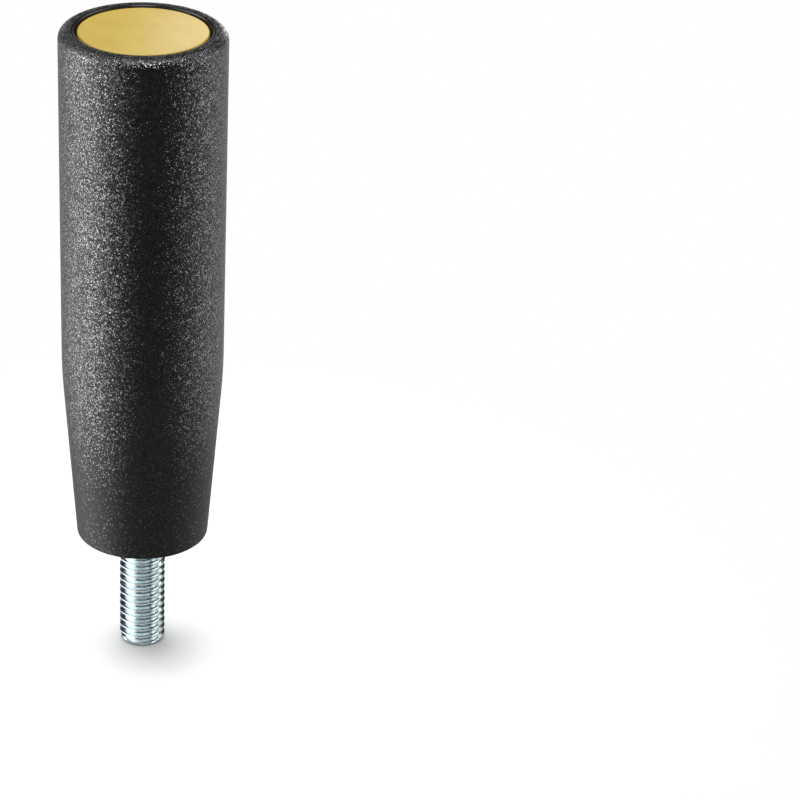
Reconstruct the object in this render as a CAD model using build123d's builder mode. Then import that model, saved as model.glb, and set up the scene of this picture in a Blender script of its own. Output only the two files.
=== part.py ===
# Cylindrical handle: a hollow moulded grip round a threaded steel stud, closed by a snap-in cap.
# Millimetres. The origin is the centre of the seating face, and +Z runs up the axis to the cap.
import os

from build123d import *

# Grip, outside: a long slim cone above the waist and a steeper one below it
grip_length = 70.0
top_diameter = 21.16
waist_diameter = 20.78
waist_height = 23.5
base_diameter = 17.08
waist_blend_radius = 79.0
top_edge_radius = 1.2
base_edge_radius = 0.3

# Grip, underside: the ring that meets the machine, a shallow recess, and a counterbore round the stud
base_ring_width = 1.8
recess_depth = 0.5
recess_chamfer = 0.15
counterbore_gap = 1.61
counterbore_depth = 2.1

# Grip, inside
wall = 2.9
head_cover = 3.0
rib_count = 4
rib_thickness = 1.2
rib_depth = 1.3
rib_drop = 12.0
rim_width = 2.0
mouth_chamfer = 0.15
ledge_width = 0.9
socket_spare_depth = 0.6

# Cap
cap_gap = 0.4
cap_drop = 0.15
cap_thickness = 1.4
cap_chamfer = 0.25
skirt_length = 5.0
skirt_wall = 1.0
skirt_clearance = 0.1
slot_count = 4
slot_width = 2.0
bead_height = 1.0
bead_depth = 0.25
bead_rise = 0.8
bead_clearance = 0.1

# Stud: thread modelled at its major diameter, with the rolled blank's thinner neck and a hexagonal head
thread_diameter = 5.96
thread_chamfer = 0.6
stud_reach = 16.4
neck_diameter = 5.35
neck_length = 1.5
head_across_flats = 9.0
head_height = 9.0
head_chamfer = 0.5
head_groove_diameter = 7.0
head_groove_width = 2.0

# Radii and levels worked out from the sizes above
top_radius = top_diameter / 2
waist_radius = waist_diameter / 2
base_radius = base_diameter / 2
thread_radius = thread_diameter / 2
recess_radius = base_radius - base_ring_width
counterbore_radius = thread_radius + counterbore_gap
counterbore_floor = recess_depth + counterbore_depth
head_level = counterbore_floor + neck_length
head_top = head_level + head_height
bore_floor = head_top + head_cover
mouth_bore_radius = top_radius - rim_width
ledge_level = grip_length - cap_drop - cap_thickness
socket_radius = mouth_bore_radius - ledge_width
socket_floor = ledge_level - skirt_length - socket_spare_depth
skirt_radius = socket_radius - skirt_clearance
skirt_end = ledge_level - skirt_length
bead_level = skirt_end + bead_rise


def outside_radius(level):
    """Outer radius of the two straight cones at a height above the base."""
    if level < waist_height:
        return base_radius + (waist_radius - base_radius) * level / waist_height
    share = (level - waist_height) / (grip_length - waist_height)
    return waist_radius + (top_radius - waist_radius) * share


def bore_radius(level):
    """Radius of the drafted bore, one wall inside the outer cones."""
    return outside_radius(level) - wall


def corner_at(section, radius, level):
    """The corner of a half section that lies at this radius and height."""
    return section.vertices().sort_by_distance((radius, level))[0]


# Stud: moulded into the grip's root by its neck and its grooved hexagonal head
with BuildPart() as threaded_stud:
    with BuildSketch(Plane.XZ):
        with BuildLine():
            Polyline(
                (0, -stud_reach),
                (thread_radius - thread_chamfer, -stud_reach),
                (thread_radius, -stud_reach + thread_chamfer),
                (thread_radius, counterbore_floor),
                (neck_diameter / 2, counterbore_floor),
                (neck_diameter / 2, head_level),
                (0, head_level),
                close=True,
            )
        make_face()
    revolve(axis=Axis.Z)
    with BuildSketch(Plane.XY.offset(head_level)):
        RegularPolygon(head_across_flats / 2, 6, major_radius=False)
    extrude(amount=head_height)
    chamfer(threaded_stud.faces().sort_by(Axis.Z)[-1].edges(), head_chamfer)
    with BuildSketch(Plane.XY.offset(head_level + (head_height - head_groove_width) / 2)):
        Circle(head_across_flats)
        Circle(head_groove_diameter / 2, mode=Mode.SUBTRACT)
    extrude(amount=head_groove_width, mode=Mode.SUBTRACT)
threaded_stud.part.label = "threaded_stud"

# Grip: one revolved shell, with a snap groove for the cap, ribs along the bore and the stud's seat
groove_half = bead_height / 2 + bead_clearance
groove_radius = socket_radius + bead_depth + bead_clearance
with BuildPart() as grip_body:
    with BuildSketch(Plane.XZ) as grip_section:
        with BuildLine():
            Polyline(
                (recess_radius, 0),
                (base_radius, 0),
                (waist_radius, waist_height),
                (top_radius, grip_length),
                (mouth_bore_radius, grip_length),
                (mouth_bore_radius, ledge_level),
                (socket_radius, ledge_level),
                (socket_radius, bead_level + groove_half + bead_depth),
                (groove_radius, bead_level + groove_half),
                (groove_radius, bead_level - groove_half),
                (socket_radius, bead_level - groove_half - bead_depth),
                (socket_radius, socket_floor),
                (bore_radius(socket_floor), socket_floor),
                (bore_radius(waist_height), waist_height),
                (bore_radius(bore_floor), bore_floor),
                (0, bore_floor),
                (0, counterbore_floor),
                (counterbore_radius, counterbore_floor),
                (counterbore_radius, recess_depth),
                (recess_radius, recess_depth),
                close=True,
            )
        make_face()
        fillet(corner_at(grip_section, base_radius, 0), base_edge_radius)
        fillet(corner_at(grip_section, waist_radius, waist_height), waist_blend_radius)
        fillet(corner_at(grip_section, top_radius, grip_length), top_edge_radius)
        chamfer(corner_at(grip_section, recess_radius, 0), recess_chamfer)
        chamfer(corner_at(grip_section, mouth_bore_radius, grip_length), mouth_chamfer)
    revolve(axis=Axis.Z)

    # stiffening ribs: each is a plate along the bore, rooted in the wall and in the bore's floor
    rib_top = ledge_level - rib_drop
    rib_root = wall / 2
    for turn in range(rib_count):
        outward = Vector(1, 0, 0).rotate(Axis.Z, turn * 360 / rib_count)
        with BuildSketch(Plane((0, 0, 0), x_dir=outward, z_dir=outward.cross(Vector(0, 0, 1)))):
            with BuildLine():
                Polyline(
                    (bore_radius(bore_floor) - rib_depth, bore_floor - rib_root),
                    (bore_radius(bore_floor) + rib_root, bore_floor - rib_root),
                    (bore_radius(waist_height) + rib_root, waist_height),
                    (bore_radius(rib_top) + rib_root, rib_top),
                    (bore_radius(rib_top), rib_top),
                    (bore_radius(rib_top - rib_depth) - rib_depth, rib_top - rib_depth),
                    (bore_radius(waist_height) - rib_depth, waist_height),
                    close=True,
                )
            make_face()
        extrude(amount=rib_thickness / 2, both=True)

    add(threaded_stud.part, mode=Mode.SUBTRACT)
grip_body.part.label = "grip_body"

# Cap: a flat disc on the grip's ledge, with a slotted skirt whose bead snaps into the grip's groove
cap_top = grip_length - cap_drop
cap_radius = mouth_bore_radius - cap_gap
bead_half = bead_height / 2
with BuildPart() as end_cap:
    with BuildSketch(Plane.XZ) as cap_section:
        with BuildLine():
            Polyline(
                (0, ledge_level),
                (skirt_radius - skirt_wall, ledge_level),
                (skirt_radius - skirt_wall, skirt_end),
                (skirt_radius, skirt_end),
                (skirt_radius, bead_level - bead_half),
                (skirt_radius + bead_depth, bead_level - bead_half + bead_depth),
                (skirt_radius + bead_depth, bead_level + bead_half - bead_depth),
                (skirt_radius, bead_level + bead_half),
                (skirt_radius, ledge_level),
                (cap_radius, ledge_level),
                (cap_radius, cap_top),
                (0, cap_top),
                close=True,
            )
        make_face()
        chamfer(corner_at(cap_section, cap_radius, cap_top), cap_chamfer)
    revolve(axis=Axis.Z)

    # slots that part the skirt into springy fingers
    with BuildSketch(Plane.XY.offset(skirt_end)):
        with PolarLocations(0, slot_count, start_angle=180 / slot_count):
            Rectangle(2 * socket_radius, slot_width, align=(Align.MIN, Align.CENTER))
    extrude(amount=skirt_length, mode=Mode.SUBTRACT)
end_cap.part.label = "end_cap"

os.makedirs("parts", exist_ok=True)
export_step(grip_body.part, "parts/grip_body.step")
export_step(end_cap.part, "parts/end_cap.step")
export_step(threaded_stud.part, "parts/threaded_stud.step")
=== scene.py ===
import bpy
import bmesh
import math
import numpy as np
from mathutils import Matrix, Vector


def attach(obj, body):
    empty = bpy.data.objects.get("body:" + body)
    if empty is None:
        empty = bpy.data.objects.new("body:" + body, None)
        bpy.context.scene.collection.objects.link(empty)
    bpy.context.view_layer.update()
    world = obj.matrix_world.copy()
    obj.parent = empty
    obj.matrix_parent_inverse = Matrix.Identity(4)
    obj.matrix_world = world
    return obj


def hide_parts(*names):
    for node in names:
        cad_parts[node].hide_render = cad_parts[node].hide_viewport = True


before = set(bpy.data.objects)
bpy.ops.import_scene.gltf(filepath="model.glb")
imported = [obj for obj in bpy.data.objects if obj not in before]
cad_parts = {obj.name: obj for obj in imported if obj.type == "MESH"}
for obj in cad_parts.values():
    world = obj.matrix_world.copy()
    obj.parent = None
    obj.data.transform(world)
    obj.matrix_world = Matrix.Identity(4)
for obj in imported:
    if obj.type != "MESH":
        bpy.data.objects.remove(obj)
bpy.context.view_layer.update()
scene = bpy.context.scene
mm = 0.001
print("packed model loaded")

# Camera: where it stands and how it is turned.
cameraSetup = {
    "lens": 161.26,        # mm, on a 36 mm wide sensor
    "distance": 459.43,    # mm from the aimed point
    "aimHeight": 31.86,    # mm up the handle's axis
    "elevation": 25.397,   # degrees above the table
    "yaw": 4.108,          # degrees, the handle sits left of the frame's middle
    "pitch": -1.427,
    "roll": 0.229,
}


# Looks from the front at the aimed point, then turns the view about its own up, right and forward lines in turn.
def placeCamera(c):
    tilt, yaw, pitch, roll = (math.radians(c[k]) for k in ("elevation", "yaw", "pitch", "roll"))
    forward = Vector((0, math.cos(tilt), -math.sin(tilt)))
    right = Vector((1, 0, 0))
    up = right.cross(forward)
    place = Vector((0, 0, c["aimHeight"] * mm)) - forward * c["distance"] * mm
    forward, right = (forward * math.cos(yaw) + right * math.sin(yaw),
                      right * math.cos(yaw) - forward * math.sin(yaw))
    forward, up = (forward * math.cos(pitch) + up * math.sin(pitch),
                   up * math.cos(pitch) - forward * math.sin(pitch))
    right, up = (right * math.cos(roll) + up * math.sin(roll),
                 up * math.cos(roll) - right * math.sin(roll))
    data = bpy.data.cameras.new("camera")
    data.sensor_width = 36
    data.lens = c["lens"]
    data.clip_start = 0.01
    camera = bpy.data.objects.new("camera", data)
    scene.collection.objects.link(camera)
    turn = Matrix((right, up, -forward)).transposed().to_4x4()
    camera.matrix_world = Matrix.Translation(place) @ turn
    scene.camera = camera


placeCamera(cameraSetup)
scene.view_settings.view_transform = "Standard"
print("camera placed")


# The node tree of a material or a world, emptied.
def emptyTree(owner):
    owner.use_nodes = True
    tree = owner.node_tree
    tree.nodes.clear()
    return tree


# Adds a node, fills the named inputs with values or links, and returns it.
def addNode(tree, kind, inputs=None, **settings):
    node = tree.nodes.new(kind)
    for key, value in settings.items():
        setattr(node, key, value)
    for key, value in (inputs or {}).items():
        if isinstance(value, bpy.types.NodeSocket):
            tree.links.new(value, node.inputs[key])
        else:
            node.inputs[key].default_value = value
    return node


# Joins a, b and c, each a value or a link, by the named operation.
def maths(tree, operation, a, b=0.0, c=0.0, clamp=False):
    return addNode(tree, "ShaderNodeMath", {0: a, 1: b, 2: c}, operation=operation, use_clamp=clamp).outputs[0]


# Passes from the first to the second by a share; kind is RGBA for colours and FLOAT for numbers.
def mix(tree, kind, share, first, second):
    node = addNode(tree, "ShaderNodeMix", {"Factor": share, "A": first, "B": second}, data_type=kind)
    return node.outputs["Result"]


# Goes smoothly from low to high while the value goes from start to end.
def smoothRange(tree, value, start, end, low=0.0, high=1.0):
    node = addNode(tree, "ShaderNodeMapRange", {
        "Value": value, "From Min": start, "From Max": end, "To Min": low, "To Max": high},
        interpolation_type="SMOOTHSTEP")
    return node.outputs["Result"]


# Table, room and light panels. Lengths are in millimetres, and a height in the room is the sine of the angle above
# the level.
studio = {
    "floorLevel": -16.4,            # the table, under the stud's tip
    "floorHalf": 6000,              # half of its side
    "floorWhite": 0.5,
    "floorFades": (50, 90),         # from the foot, where it fades into the white room
    "roomAbove": 0.03,              # radiance of the dim room above the table
    "ceiling": 0.24,                # radiance of its ceiling
    "ceilingHeights": (0.75, 1.0),  # heights where the ceiling begins and is full
    "tableFront": 0.045,            # radiance of the table in front, as the handle reflects it
    "tableBehind": 0.40,            # and behind
    "tableDepths": (-0.6, 0.85),    # how far back a direction points where the first ends and the second is full
    "tableNear": 0.38,              # radiance of the table close under the handle
    "nearHeights": (-0.5, -0.8),    # heights where that begins and is full
    "horizon": (-0.12, 0.0),        # heights between which the table gives way to the room
    "panelAim": 30,                 # the panels face this level of the axis
    # lit parts of the table and of the walls: radiance, the bearings in degrees to the right of front where each
    # fades in and out, and the heights between which it fades in and out
    "glows": {
        "leftTable": (2.55, (-25, -75, -85, -150), (-0.76, -0.43, -0.12, 0.05)),
        "rightTable": (0.78, (40, 85, 100, 160), (-0.58, -0.34, -0.12, 0.05)),
        "leftWall": (5.6, (-40, -73, -98, -132), (-0.02, 0.18, 0.36, 0.56)),
        "rightWall": (2.7, (48, 80, 100, 132), (-0.02, 0.18, 0.34, 0.56)),
        "backRightWall": (3.4, (155, 169, 175, 180), (-0.36, -0.16, -0.02, 0.14)),
        "backLeftWall": (0.8, (-148, -167, -174, -180), (-0.16, 0.0, 0.10, 0.28)),
    },
    # light panels: place, size, radiance, the one piece each lights, and the pieces whose shadows it casts
    "panels": {
        "gripLeftBox": ((-195, 150, 400), (190, 190), 2.5, "mouldedGrip", ("mouldedGrip",)),
        "gripRightBox": ((208, 155, 395), (170, 180), 2.8, "mouldedGrip", ("mouldedGrip",)),
        "gripFrontLamp": ((0, -320, 640), (300, 300), 8.8, "mouldedGrip", ("mouldedGrip",)),
        "capLamp": ((0, 20, 270), (420, 420), 1.86, "snapCap", ("snapCap", "mouldedGrip")),
        "capCard": ((17, 50, 93), (33, 26), 1.9, "snapCap", ("snapCap",)),
        "studLeftCard": ((-114, 78, 258), (84, 130), 1.1, "threadedStud", ("threadedStud",)),
        "studTopCard": ((4, 36, 290), (165, 130), 0.6, "threadedStud", ("threadedStud",)),
        "studRightCard": ((142, 113, 231), (50, 130), 3.0, "threadedStud", ("threadedStud",)),
        "studFrontCard": ((0, -150, -130), (320, 110), 1.3, "threadedStud", ("threadedStud",)),
        "studFaceCard": ((0, -200, 130), (200, 180), 0.6, "threadedStud", ("threadedStud",)),
        "studSideCard": ((-205, -85, 190), (190, 330), 1.3, "threadedStud", ("threadedStud",)),
        "studLowRightCard": ((256, -69, -149), (150, 130), 3.4, "threadedStud", ("threadedStud",)),
        "studLowLeftCard": ((-240, -120, -149), (160, 140), 1.0, "threadedStud", ("threadedStud",)),
        "tableDome": ((-5, 5, 620), (760, 760), 4.3, "table", ("threadedStud",)),
        "tableLamp": ((-36, 70, 530), (170, 170), 31.5, "table", ("threadedStud",)),
    },
}


# The world: white to the camera, and to reflections a dim room with a lighter ceiling, over a table that grows
# brighter from front to back and close under the handle. Glows light parts of both: each is its share by bearing
# times its share by height. It gives no diffuse light, which comes from the panels alone.
def buildRoom(s):
    world = bpy.data.worlds.new("studioRoom")
    scene.world = world
    tree = emptyTree(world)
    looked = addNode(tree, "ShaderNodeTexCoord").outputs["Generated"]
    x, y, z = addNode(tree, "ShaderNodeSeparateXYZ", {0: looked}).outputs
    above = smoothRange(tree, z, *s["ceilingHeights"], s["roomAbove"], s["ceiling"])
    table = smoothRange(tree, y, *s["tableDepths"], s["tableFront"], s["tableBehind"])
    table = mix(tree, "FLOAT", smoothRange(tree, z, *s["nearHeights"]), table, s["tableNear"])
    level = mix(tree, "FLOAT", smoothRange(tree, z, *s["horizon"]), table, above)
    bearing = maths(tree, "ARCTAN2", x, maths(tree, "MULTIPLY", y, -1.0))
    for strength, bearings, heights in s["glows"].values():
        start, full, fading, end = (math.radians(edge) for edge in bearings)
        share = maths(tree, "MULTIPLY", smoothRange(tree, bearing, start, full),
                      smoothRange(tree, bearing, end, fading))
        low, risen, falling, high = heights
        share = maths(tree, "MULTIPLY", share, smoothRange(tree, z, low, risen))
        share = maths(tree, "MULTIPLY", share, smoothRange(tree, z, high, falling))
        level = maths(tree, "MULTIPLY_ADD", share, strength, level)
    light = addNode(tree, "ShaderNodeBackground", {"Color": (1.0, 1.0, 1.0, 1.0), "Strength": level})
    seen = addNode(tree, "ShaderNodeBackground", {"Color": (1.0, 1.0, 1.0, 1.0), "Strength": 1.0})
    ray = addNode(tree, "ShaderNodeLightPath")
    both = addNode(tree, "ShaderNodeMixShader", {
        0: ray.outputs["Is Camera Ray"], 1: light.outputs[0], 2: seen.outputs[0]})
    addNode(tree, "ShaderNodeOutputWorld", {"Surface": both.outputs[0]})
    world.cycles_visibility.diffuse = False


# A wide flat light panel that faces the handle and lights one piece; only the named pieces stand in its way.
def addPanel(name, place, size, radiance, lit, casters):
    data = bpy.data.lights.new(name, "AREA")
    data.shape = "RECTANGLE"
    data.size, data.size_y = (side * mm for side in size)
    data.energy = radiance * math.pi * data.size * data.size_y
    panel = bpy.data.objects.new(name, data)
    scene.collection.objects.link(panel)
    panel.location = [side * mm for side in place]
    aim = Vector((0, 0, studio["panelAim"] * mm)) - panel.location
    panel.rotation_euler = aim.to_track_quat("-Z", "Y").to_euler()
    panel.visible_camera = False
    reach, shade = (bpy.data.collections.new(name + part) for part in ("Reach", "Shade"))
    reach.objects.link(bpy.data.objects[lit])
    for caster in casters:
        shade.objects.link(bpy.data.objects[caster])
    panel.light_linking.receiver_collection = reach
    panel.light_linking.blocker_collection = shade


# The table: a flat square under the stud, white, hidden from the handle's reflections, and clear from below and far
# from the foot, where the white room shows instead.
def buildTable(s):
    half, level = s["floorHalf"] * mm, s["floorLevel"] * mm
    mesh = bpy.data.meshes.new("table")
    mesh.from_pydata([(-half, -half, level), (half, -half, level), (half, half, level), (-half, half, level)],
                     [], [(0, 1, 2, 3)])
    table = bpy.data.objects.new("table", mesh)
    scene.collection.objects.link(table)
    material = bpy.data.materials.new("whiteTable")
    tree = emptyTree(material)
    white = addNode(tree, "ShaderNodeBsdfDiffuse", {"Color": (s["floorWhite"],) * 3 + (1.0,)})
    clear = addNode(tree, "ShaderNodeBsdfTransparent")
    side = addNode(tree, "ShaderNodeNewGeometry").outputs["Backfacing"]
    place = addNode(tree, "ShaderNodeTexCoord").outputs["Object"]
    away = addNode(tree, "ShaderNodeVectorMath", {0: place}, operation="LENGTH").outputs["Value"]
    fadeStart, fadeEnd = (reach * mm for reach in s["floorFades"])
    shareClear = maths(tree, "MAXIMUM", side, smoothRange(tree, away, fadeStart, fadeEnd))
    both = addNode(tree, "ShaderNodeMixShader", {0: shareClear, 1: white.outputs[0], 2: clear.outputs[0]})
    addNode(tree, "ShaderNodeOutputMaterial", {"Surface": both.outputs[0]})
    mesh.materials.append(material)
    table.visible_glossy = table.visible_diffuse = table.visible_shadow = False


buildRoom(studio)
buildTable(studio)
print("room and table built")


# Spark-eroded grain: overlapping craters leave a skin of tiny domes, one to each cell. A dome's height falls with the
# square of the distance to its cell's middle, and each dome leans its own way, by the cell's random colour as a
# vector. Normal carries both, faded by Amount, and Chance is the cell's random share, smallest where it leans up.
def buildGrainGroup():
    group = bpy.data.node_groups.new("sparkGrain", "ShaderNodeTree")
    for name, value in (("Cells", 5000.0), ("Lean", 0.5), ("Dome", 0.00001), ("Amount", 1.0)):
        socket = group.interface.new_socket(name, in_out="INPUT", socket_type="NodeSocketFloat")
        socket.default_value = value
    group.interface.new_socket("Normal", in_out="OUTPUT", socket_type="NodeSocketVector")
    group.interface.new_socket("Chance", in_out="OUTPUT", socket_type="NodeSocketFloat")
    given = addNode(group, "NodeGroupInput").outputs
    place = addNode(group, "ShaderNodeTexCoord").outputs["Object"]
    cells = addNode(group, "ShaderNodeTexVoronoi", {"Vector": place, "Scale": given["Cells"]})
    lean = addNode(group, "ShaderNodeVectorMath", {0: cells.outputs["Color"], 1: (0.5, 0.5, 0.5)},
                   operation="SUBTRACT").outputs[0]
    lean = addNode(group, "ShaderNodeVectorMath", {
        0: lean, "Scale": maths(group, "MULTIPLY", given["Lean"], given["Amount"])}, operation="SCALE").outputs[0]
    flat = addNode(group, "ShaderNodeNewGeometry").outputs["Normal"]
    leaning = addNode(group, "ShaderNodeVectorMath", {0: flat, 1: lean}, operation="ADD").outputs[0]
    leaning = addNode(group, "ShaderNodeVectorMath", {0: leaning}, operation="NORMALIZE").outputs[0]
    distance = cells.outputs["Distance"]
    dome = maths(group, "MULTIPLY", maths(group, "MULTIPLY", distance, distance), maths(
        group, "MULTIPLY", given["Amount"], -1.0))
    bump = addNode(group, "ShaderNodeBump", {
        "Strength": 1.0, "Distance": given["Dome"], "Height": dome, "Normal": leaning})
    rise = addNode(group, "ShaderNodeSeparateColor", {0: cells.outputs["Color"]}).outputs[2]
    addNode(group, "NodeGroupOutput", {"Normal": bump.outputs[0], "Chance": maths(group, "SUBTRACT", 1.0, rise)})
    return group


grainGroup = buildGrainGroup()
print("grain group built")


# The grain in a material, with the look's own cells, lean and dome.
def placeGrain(tree, look, inputs=None):
    values = {key: look[key] for key in ("Cells", "Lean", "Dome")}
    return addNode(tree, "ShaderNodeGroup", {**values, **(inputs or {})}, node_tree=grainGroup)


# Walks a section's corners (radius, level, rounding, steps). A rounded corner becomes an arc that touches both of
# its sides: the centre lies on the bisector at rounding / sin(half angle), and the arc sweeps between the two
# touching points.
def roundedSection(corners):
    flat = np.array([c[:2] for c in corners], float)
    runs = []
    for k, corner in enumerate(corners):
        here = flat[k]
        if len(corner) == 2 or k in (0, len(corners) - 1):
            runs.append(here[None, :])
            continue
        rounding, steps = corner[2:]
        back = (flat[k - 1] - here) / np.linalg.norm(flat[k - 1] - here)
        onward = (flat[k + 1] - here) / np.linalg.norm(flat[k + 1] - here)
        half = math.acos(np.clip(back @ onward, -1, 1)) / 2
        centre = here + (back + onward) / np.linalg.norm(back + onward) * rounding / math.sin(half)
        first = here + back * rounding / math.tan(half) - centre
        last = here + onward * rounding / math.tan(half) - centre
        sweep = math.pi - 2 * half
        s = np.linspace(0, 1, steps + 1)[:, None]
        runs.append(centre + (np.sin((1 - s) * sweep) * first + np.sin(s * sweep) * last) / math.sin(sweep))
    return np.concatenate(runs)


# Quads between neighbouring rows and columns of a grid of point numbers; the last column closes on the first.
def closedQuads(numbers):
    onward = np.roll(numbers, -1, axis=1)
    return np.stack([numbers[:-1], onward[:-1], onward[1:], numbers[1:]], axis=-1).reshape(-1, 4)


mergeWithin = 1e-7  # metres, points this close are one
flatWithin = 1e-8   # metres, edges this short are dropped


# Millimetre points and quads into one smooth mesh object: points in the same place are merged, which closes poles
# and seams, and edges sharper than the given angle stay sharp.
def buildPiece(name, points, quads, material, sharpAngle):
    mesh = bpy.data.meshes.new(name)
    mesh.vertices.add(len(points))
    mesh.vertices.foreach_set("co", (points * mm).astype(np.float32).ravel())
    mesh.loops.add(quads.size)
    mesh.loops.foreach_set("vertex_index", quads.astype(np.int32).ravel())
    mesh.polygons.add(len(quads))
    mesh.polygons.foreach_set("loop_start", np.arange(0, quads.size, 4, dtype=np.int32))
    mesh.update(calc_edges=True)
    work = bmesh.new()
    work.from_mesh(mesh)
    bmesh.ops.remove_doubles(work, verts=work.verts, dist=mergeWithin)
    bmesh.ops.dissolve_degenerate(work, edges=work.edges, dist=flatWithin)
    bmesh.ops.recalc_face_normals(work, faces=work.faces)
    work.to_mesh(mesh)
    work.free()
    mesh.shade_smooth()
    mesh.set_sharp_from_angle(angle=math.radians(sharpAngle))
    mesh.materials.append(material)
    piece = bpy.data.objects.new(name, mesh)
    scene.collection.objects.link(piece)
    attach(piece, "root")
    print(name, len(mesh.vertices), "points")
    return piece


# Grip sizes, in millimetres like those of the cap and the stud.
gripSizes = {
    "length": 70.0, "topRadius": 10.58, "waistRadius": 10.39, "waistLevel": 23.5, "baseRadius": 8.54,
    "waistBlend": 79.0, "topRounding": 1.2, "baseRounding": 0.3,
    "recessRadius": 6.74, "recessDepth": 0.5, "recessRounding": 0.15, "recessCornerRounding": 0.12,
    "counterboreRadius": 4.59, "counterboreFloor": 2.6, "counterboreRounding": 0.1,
    "mouthRadius": 8.58, "mouthRounding": 0.25, "ledgeLevel": 68.45, "ledgeRounding": 0.05,
    "socketRadius": 7.68, "socketFloor": 62.85, "grooveRadius": 8.03, "grooveLevel": 64.25, "grooveHalf": 0.6,
    "grooveFlank": 0.25, "wall": 2.9, "boreFloor": 16.1,
    "ribCount": 4, "ribDepth": 1.3, "ribHalf": 0.6, "ribTop": 56.45,
    # columns beside a rib's middle, in radians: its crest, its foot, and the gap in the even ring round both
    "ribCrestAngle": 0.085, "ribFootAngle": 0.100, "ribClearAngles": (0.07, 0.12),
    "neckRadius": 2.675, "headLevel": 4.1, "headTop": 13.1, "headHalfFlats": 4.5, "headChamfer": 0.5,
    "headGrooveRadius": 3.5, "headGrooveWidth": 2.0,
    "columns": 288,
}


# Outer radius of the two straight cones, one below and one above the waist.
def outsideRadius(s, level):
    below = s["baseRadius"] + (s["waistRadius"] - s["baseRadius"]) * level / s["waistLevel"]
    share = (level - s["waistLevel"]) / (s["length"] - s["waistLevel"])
    above = s["waistRadius"] + (s["topRadius"] - s["waistRadius"]) * share
    return np.where(level < s["waistLevel"], below, above)


# The stud's neck and hexagonal head as section corners from the neck's start to the pole on top. A third value of
# 1 marks a corner on the flats, where the radius grows to the hexagon's corners.
def headSection(s, start):
    middle = (s["headLevel"] + s["headTop"]) / 2
    half = s["headGrooveWidth"] / 2
    flats, groove = s["headHalfFlats"], s["headGrooveRadius"]
    return np.array([
        (s["neckRadius"], start, 0), (s["neckRadius"], s["headLevel"], 0), (flats, s["headLevel"], 1),
        (flats, middle - half, 1), (groove, middle - half, 0), (groove, middle + half, 0),
        (flats, middle + half, 1), (flats, s["headTop"] - s["headChamfer"], 1),
        (flats - s["headChamfer"], s["headTop"], 1), (0, s["headTop"], 0)])


# Radius of a hexagon at an angle for one millimetre across half its flats: 1 / cos(angle from the flat's middle).
def hexagonShare(angle):
    return 1 / np.cos(np.mod(angle, math.pi / 3) - math.pi / 6)


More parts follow.
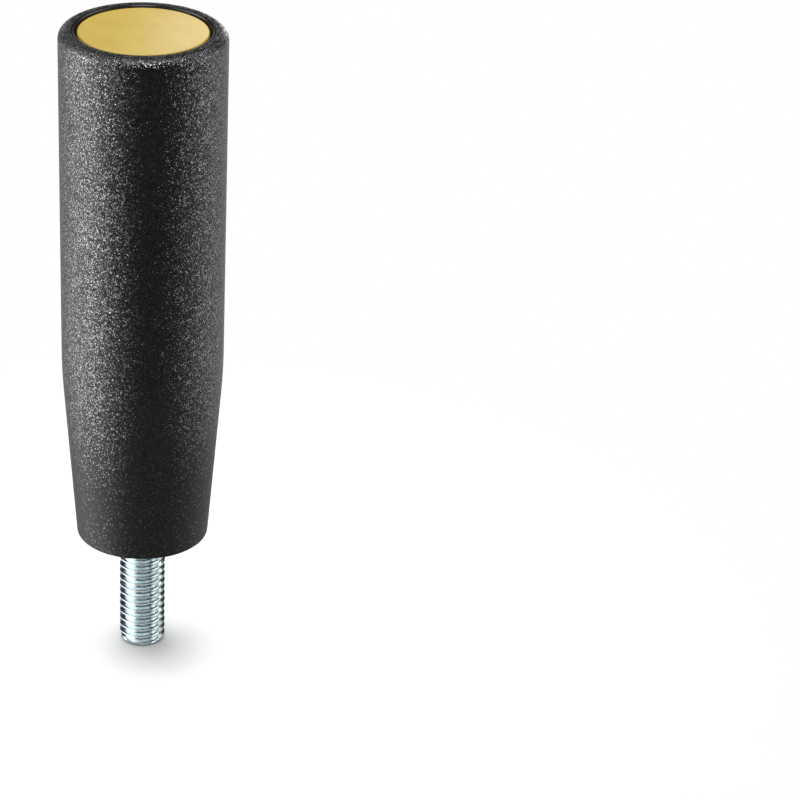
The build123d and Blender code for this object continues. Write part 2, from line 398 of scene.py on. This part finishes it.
# Grip: a section from the pole under the head's pocket, down and out round the base, up the outside, over the rim
# and down the bore to the pole on the bore's floor, turned round the axis. In the pocket the radius follows the
# hexagon, and in the bore four ribs push the wall inwards between two pairs of columns each.
def buildGrip(s, material):
    pocket = headSection(s, s["counterboreFloor"])[::-1]
    flank = s["grooveHalf"] + s["grooveFlank"]
    outer = roundedSection([
        (s["neckRadius"], s["counterboreFloor"]),
        (s["counterboreRadius"], s["counterboreFloor"], s["counterboreRounding"], 3),
        (s["counterboreRadius"], s["recessDepth"], s["recessCornerRounding"], 4),
        (s["recessRadius"], s["recessDepth"], s["recessCornerRounding"], 4),
        (s["recessRadius"], 0, s["recessRounding"], 6),
        (s["baseRadius"], 0, s["baseRounding"], 12),
        (s["waistRadius"], s["waistLevel"], s["waistBlend"], 16),
        (s["topRadius"], s["length"], s["topRounding"], 20),
        (s["mouthRadius"], s["length"], s["mouthRounding"], 6),
        (s["mouthRadius"], s["ledgeLevel"], s["ledgeRounding"], 2),
        (s["socketRadius"], s["ledgeLevel"], s["ledgeRounding"], 2),
        (s["socketRadius"], s["grooveLevel"] + flank), (s["grooveRadius"], s["grooveLevel"] + s["grooveHalf"]),
        (s["grooveRadius"], s["grooveLevel"] - s["grooveHalf"]), (s["socketRadius"], s["grooveLevel"] - flank),
        (s["socketRadius"], s["socketFloor"]),
    ])
    boreLevels = np.array([s["socketFloor"], s["ribTop"], s["ribTop"] - s["ribDepth"], s["waistLevel"],
                           s["boreFloor"]])
    bore = np.stack([outsideRadius(s, boreLevels) - s["wall"], boreLevels], axis=1)
    section = np.concatenate([pocket[:, :2], outer[1:], bore, [(0, s["boreFloor"])]])
    onFlats = np.zeros(len(section))
    onFlats[:len(pocket)] = pocket[:, 2]
    inBore = np.zeros(len(section))
    inBore[-1 - len(bore):-1] = np.clip((s["ribTop"] - boreLevels) / s["ribDepth"], 0, 1)

    # an even ring of columns, with two close columns at each side of each rib
    even = np.arange(s["columns"]) * 2 * math.pi / s["columns"]
    ribAngles = np.arange(s["ribCount"]) * 2 * math.pi / s["ribCount"]
    nearest = lambda a: np.abs(np.angle(np.exp(1j * (a[:, None] - ribAngles)))).min(axis=1)
    clearFrom, clearTo = s["ribClearAngles"]
    even = even[(nearest(even) < clearFrom) | (nearest(even) > clearTo)]
    bothSides = np.array([-1, 1])
    crest = (ribAngles[:, None] + bothSides * s["ribCrestAngle"]).ravel()
    foot = (ribAngles[:, None] + bothSides * s["ribFootAngle"]).ravel()
    angles = np.mod(np.concatenate([even, crest, foot]), 2 * math.pi)
    kinds = np.concatenate([np.zeros(len(even)), np.ones(len(crest)), np.full(len(foot), 2)])
    order = np.argsort(angles)
    angles, kinds = angles[order], kinds[order]
    offset = np.angle(np.exp(1j * (angles[:, None] - ribAngles)))
    closest = np.abs(offset).argmin(axis=1)
    offset = offset[np.arange(len(angles)), closest]

    radius = section[:, :1] * np.where(onFlats[:, None] > 0, hexagonShare(angles)[None, :], 1.0)
    onRib = (np.abs(offset) < (s["ribCrestAngle"] + s["ribFootAngle"]) / 2)[None, :] * inBore[:, None]
    radius = radius - s["ribDepth"] * onRib
    sides = np.arcsin(np.clip(s["ribHalf"] / np.maximum(radius, 1.0), 0, 1)) * np.sign(offset)
    square = (kinds > 0)[None, :] & (inBore > 0)[:, None]
    turned = np.where(square, ribAngles[closest] + sides, angles[None, :])
    levels = np.broadcast_to(section[:, 1:], radius.shape)
    points = np.stack([radius * np.cos(turned), radius * np.sin(turned), levels], axis=-1)
    quads = closedQuads(np.arange(radius.size).reshape(radius.shape))
    grip = buildPiece("mouldedGrip", points.reshape(-1, 3), quads, material, 35)
    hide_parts("grip_body")


# Black moulded plastic: grain on the outside and the base ring, none on the lip beside the cap or inside the
# recess. Down the taper the grain fades and the finish turns hazier. The cells that lean up most, ranked by chance
# over the grain's strength, are bright flecks.
def blackPlastic(s, look):
    material = bpy.data.materials.new("grainedBlackPlastic")
    tree = emptyTree(material)
    place = addNode(tree, "ShaderNodeTexCoord").outputs["Object"]
    x, y, z = addNode(tree, "ShaderNodeSeparateXYZ", {0: place}).outputs
    radius = maths(tree, "SQRT", maths(tree, "ADD", maths(tree, "MULTIPLY", x, x), maths(tree, "MULTIPLY", y, y)))
    outside = smoothRange(tree, radius, s["recessRadius"] * mm, (s["recessRadius"] + look["grainEdge"]) * mm)
    lipFrom, lipFull = (level * mm for level in look["lipLevels"])
    lip = maths(tree, "MULTIPLY",
                smoothRange(tree, radius, look["lipRadius"] * mm, (look["lipRadius"] - look["lipEdge"]) * mm),
                smoothRange(tree, z, lipFrom, lipFull))
    fading = smoothRange(tree, z, look["fadeEnd"] * mm, look["fadeStart"] * mm, look["fadeShare"], 1.0)
    grained = maths(tree, "MULTIPLY", maths(tree, "MULTIPLY", outside, fading),
                    maths(tree, "SUBTRACT", 1.0, lip), clamp=True)
    grain = placeGrain(tree, look, {"Amount": grained})
    chance = grain.outputs["Chance"]
    roughness = maths(tree, "MULTIPLY_ADD", chance, look["polish"], look["roughness"] - look["polish"])
    haze = maths(tree, "MULTIPLY", maths(tree, "SUBTRACT", 1.0, fading), look["fadeHaze"])
    roughness = maths(tree, "ADD", roughness, haze)
    rank = maths(tree, "DIVIDE", chance, maths(tree, "MAXIMUM", grained, 0.001))  # never over nothing
    bright = smoothRange(tree, rank, look["fleckShare"], look["fleckShare"] - look["fleckEdge"])
    shine = mix(tree, "RGBA", smoothRange(tree, rank, look["fleckShare"], 0.0), look["dimFleck"], look["brightFleck"])
    colour = mix(tree, "RGBA", bright, look["colour"], shine)
    surface = addNode(tree, "ShaderNodeBsdfPrincipled", {
        "Base Color": colour, "Roughness": roughness, "Normal": grain.outputs["Normal"],
        "Metallic": bright, "Specular IOR Level": look["specular"]})
    addNode(tree, "ShaderNodeOutputMaterial", {"Surface": surface.outputs[0]})
    return material


gripLook = {
    "colour": (0.018, 0.018, 0.0185, 1.0), "dimFleck": (0.04,) * 3 + (1.0,), "brightFleck": (0.38,) * 3 + (1.0,),
    "Cells": 9500.0, "Lean": 0.52, "Dome": 0.00002,
    "roughness": 0.25, "polish": 0.08, "fleckShare": 0.36, "fleckEdge": 0.05, "specular": 0.5,
    # how softly the grain starts at the recess's edge, and the smooth lip beside the cap: its radius, the width of
    # its soft edge and the levels where it starts, all in millimetres
    "grainEdge": 0.2, "lipRadius": 8.98, "lipEdge": 0.15, "lipLevels": (60, 62),
    # levels between which the grain fades, the share that is left, and the roughness added there
    "fadeStart": 27.0, "fadeEnd": 6.5, "fadeShare": 0.20, "fadeHaze": 0.28,
}
buildGrip(gripSizes, blackPlastic(gripSizes, gripLook))


# Cap sizes.
capSizes = {
    "top": 69.85, "radius": 8.18, "edgeRounding": 0.25, "under": 68.45, "lowerRounding": 0.05,
    "skirtRadius": 7.58, "skirtInner": 6.58, "skirtEnd": 63.45,
    "beadLevel": 64.25, "beadHalf": 0.5, "beadDepth": 0.25,
    "slots": 4, "slotHalf": 1.0, "slotLean": 0.001,  # lean: radians between the two columns of a slot's side
    "columns": 240,
}


# Cap: a section from the pole on top, with one ring halfway, over the rounded edge, down the skirt with its bead and
# back up to the pole underneath, turned round the axis. In the slots the skirt's points are lifted to the disc's
# underside, the bead's at the skirt's own radius.
def buildCap(s, material):
    section = roundedSection([
        (0, s["top"]), (s["radius"] * 0.5, s["top"]), (s["radius"], s["top"], s["edgeRounding"], 8),
        (s["radius"], s["under"], s["lowerRounding"], 2), (s["skirtRadius"], s["under"]),
        (s["skirtRadius"], s["beadLevel"] + s["beadHalf"]),
        (s["skirtRadius"] + s["beadDepth"], s["beadLevel"] + s["beadHalf"] - s["beadDepth"]),
        (s["skirtRadius"] + s["beadDepth"], s["beadLevel"] - s["beadHalf"] + s["beadDepth"]),
        (s["skirtRadius"], s["beadLevel"] - s["beadHalf"]), (s["skirtRadius"], s["skirtEnd"]),
        (s["skirtInner"], s["skirtEnd"]), (s["skirtInner"], s["under"]), (0, s["under"])])
    even = np.arange(s["columns"]) * 2 * math.pi / s["columns"]
    slotAngles = (np.arange(s["slots"]) + 0.5) * 2 * math.pi / s["slots"]
    edge = math.asin(s["slotHalf"] / s["skirtRadius"])
    outer = edge + s["slotLean"]
    sides = (slotAngles[:, None] + np.array([-outer, -edge, edge, outer])).ravel()
    angles = np.unique(np.mod(np.concatenate([even, sides]), 2 * math.pi))
    offset = np.abs(np.angle(np.exp(1j * (angles[:, None] - slotAngles)))).min(axis=1)
    inSlot = offset < (edge + outer) / 2
    lifted = inSlot[None, :] & (section[:, 1:] < s["under"] - 0.001)  # a micron clear of the underside itself
    levels = np.where(lifted, s["under"], section[:, 1:])
    radius = np.where(lifted, np.minimum(section[:, :1], s["skirtRadius"]), section[:, :1])
    points = np.stack([radius * np.cos(angles), radius * np.sin(angles), levels], axis=-1)
    quads = closedQuads(np.arange(levels.size).reshape(levels.shape))
    cap = buildPiece("snapCap", points.reshape(-1, 3), quads, material, 35)
    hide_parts("end_cap")


# Mustard plastic: a fine even grain and faint mottling of the colour.
def mustardPlastic(look):
    material = bpy.data.materials.new("matteMustardPlastic")
    tree = emptyTree(material)
    place = addNode(tree, "ShaderNodeTexCoord").outputs["Object"]
    cloud = addNode(tree, "ShaderNodeTexNoise", {
        "Vector": place, "Scale": look["cloudScale"], "Detail": look["cloudDetail"]})
    colour = mix(tree, "RGBA", smoothRange(tree, cloud.outputs["Fac"], *look["cloudRange"]),
                 look["colour"], look["paler"])
    grain = placeGrain(tree, look)
    roughness = maths(tree, "MULTIPLY_ADD", grain.outputs["Chance"], look["polish"], look["roughness"] - look["polish"])
    surface = addNode(tree, "ShaderNodeBsdfPrincipled", {
        "Base Color": colour, "Roughness": roughness, "Normal": grain.outputs["Normal"],
        "Specular IOR Level": look["specular"]})
    addNode(tree, "ShaderNodeOutputMaterial", {"Surface": surface.outputs[0]})
    return material


capLook = {
    "colour": (0.61, 0.43, 0.078, 1.0), "paler": (0.65, 0.47, 0.095, 1.0),
    "cloudScale": 260.0, "cloudDetail": 3.0, "cloudRange": (0.3, 0.7),
    "roughness": 0.36, "polish": 0.08, "specular": 0.5,
    "Cells": 6500.0, "Lean": 0.08, "Dome": 0.000004,
}
buildCap(capSizes, mustardPlastic(capLook))


# Stud sizes.
studSizes = {
    "tip": -16.4, "threadTop": 2.6, "radius": 2.98, "pitch": 1.0, "crestHalf": 0.0625, "rootRounding": 0.144,
    "threadStart": -17.65,  # level of the helix's first crest, under the tip
    "shoulderDepth": 0.012, "shoulderWidth": 0.022,  # the rounding of the crest's edges
    # rows in half a pitch, as shares of it, closest where the thread's section bends
    "rowShares": (0.0, 0.04, 0.0625, 0.09, 0.185, 0.28, 0.3753, 0.42, 0.46),
    "tipChamfer": 0.6, "dimpleRadius": 0.9, "dimpleDepth": 0.18, "columns": 144,
}


# Depth of the thread below its crest at a share of the pitch from the crest's middle: a crest with small rounded
# shoulders, a 60 degree flank (depth = sideways distance / tan 30), and an arc in the root.
def threadDepth(s, share):
    flankAngle = math.radians(30)
    away = np.abs(np.mod(share + 0.5, 1.0) - 0.5)
    flank = np.maximum(away - s["crestHalf"], 0) * s["pitch"] / math.tan(flankAngle)
    shoulder = s["shoulderDepth"] * np.exp(-((away - s["crestHalf"]) / s["shoulderWidth"]) ** 2)
    rounding = s["rootRounding"]
    touch = rounding * math.cos(flankAngle)
    deepest = ((0.5 - s["crestHalf"]) * s["pitch"] - touch) / math.tan(flankAngle) + rounding * (
        1 - math.sin(flankAngle))
    fromRoot = np.minimum((0.5 - away) * s["pitch"], rounding)
    root = deepest - (rounding - np.sqrt(rounding ** 2 - fromRoot ** 2))
    return np.where((0.5 - away) * s["pitch"] < touch, root, flank + shoulder)


# Stud: the thread is a grid whose rows run along the helix, so the level of a point is its row's level plus the
# pitch times its share of the turn, and the seam joins each row to the one a pitch higher. Levels past the ends are
# brought back to them, where the radius is the tip's or the neck's. Plain rings then carry the surface over the
# flat tip to its centre, and up the neck and the head to theirs.
def buildStud(s, g, material):
    shares = np.array(s["rowShares"])
    shares = np.sort(np.concatenate([shares, 1 - shares[1:], [0.5]]))
    turns = int(math.ceil((s["threadTop"] - s["tip"]) / s["pitch"])) + 2
    rows = (np.arange(turns)[:, None] + shares[None, :]).ravel()
    rowsAPitch, columns = len(shares), s["columns"]
    angles = np.arange(columns) * 2 * math.pi / columns
    around = np.arange(columns) / columns
    raw = s["threadStart"] + s["pitch"] * (rows[:, None] + around[None, :])
    levels = np.clip(raw, s["tip"], s["threadTop"])
    radius = s["radius"] - threadDepth(s, np.broadcast_to(rows[:, None], raw.shape))
    tipRadius = s["radius"] - s["tipChamfer"]
    radius = np.minimum(radius, tipRadius + (levels - s["tip"]))
    radius = np.where(raw <= s["tip"], tipRadius, np.where(raw >= s["threadTop"], g["neckRadius"], radius))
    helix = np.stack([radius * np.cos(angles), radius * np.sin(angles), levels], axis=-1)
    numbers = np.arange(radius.size).reshape(radius.shape)
    inner = np.stack([numbers[:-1, :-1], numbers[:-1, 1:], numbers[1:, 1:], numbers[1:, :-1]], axis=-1).reshape(-1, 4)
    last = len(rows) - 1
    k = np.arange(-rowsAPitch, last)
    pick = lambda row, column: numbers[np.clip(row, 0, last), column]
    seam = np.stack([pick(k, -1), pick(k + rowsAPitch, 0), pick(k + 1 + rowsAPitch, 0), pick(k + 1, -1)], axis=-1)

    dimple = np.linspace(0, 1, 7)
    tip = np.concatenate([
        np.stack([s["dimpleRadius"] * dimple, s["tip"] + s["dimpleDepth"] * (1 - dimple ** 2)], axis=1),
        [(tipRadius, s["tip"])]])
    head = headSection(g, s["threadTop"])
    ends = []
    for rings, flats in ((tip, np.zeros(len(tip))), (head[:, :2], head[:, 2])):
        size = rings[:, :1] * np.where(flats[:, None] > 0, hexagonShare(angles)[None, :], 1.0)
        level = np.broadcast_to(rings[:, 1:], size.shape)
        ends.append(np.stack([size * np.cos(angles), size * np.sin(angles), level], axis=-1))
    points, quads = [helix.reshape(-1, 3)], [inner, seam]
    start = radius.size
    for end in ends:
        points.append(end.reshape(-1, 3))
        quads.append(closedQuads(np.arange(start, start + end.shape[0] * columns).reshape(-1, columns)))
        start += end.shape[0] * columns
    stud = buildPiece("threadedStud", np.concatenate(points), np.concatenate(quads), material, 50)
    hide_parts("threaded_stud")


# Zinc plating: bright bluish metal, with tint, roughness and a slight waviness from one fine cloud.
def zincPlate(look):
    material = bpy.data.materials.new("brightZincPlate")
    tree = emptyTree(material)
    place = addNode(tree, "ShaderNodeTexCoord").outputs["Object"]
    cloud = addNode(tree, "ShaderNodeTexNoise", {
        "Vector": place, "Scale": look["cloudScale"], "Detail": look["cloudDetail"]}).outputs["Fac"]
    colour = mix(tree, "RGBA", smoothRange(tree, cloud, *look["tintRange"]), look["colour"], look["duller"])
    roughness = smoothRange(tree, cloud, *look["roughRange"], look["smooth"], look["rough"])
    bump = addNode(tree, "ShaderNodeBump", {"Strength": 1.0, "Distance": look["waveHeight"] * mm, "Height": cloud})
    surface = addNode(tree, "ShaderNodeBsdfPrincipled", {
        "Base Color": colour, "Metallic": 1.0, "Roughness": roughness, "Normal": bump.outputs[0]})
    addNode(tree, "ShaderNodeOutputMaterial", {"Surface": surface.outputs[0]})
    return material


studLook = {
    "colour": (0.64, 0.73, 0.752, 1.0), "duller": (0.565, 0.66, 0.69, 1.0), "tintRange": (0.3, 0.7),
    "smooth": 0.16, "rough": 0.30, "roughRange": (0.3, 0.75),
    "cloudScale": 900.0, "cloudDetail": 4.0, "waveHeight": 0.004,  # mm
}
buildStud(studSizes, gripSizes, zincPlate(studLook))

for name, panel in studio["panels"].items():
    addPanel(name, *panel)
print("lights placed")
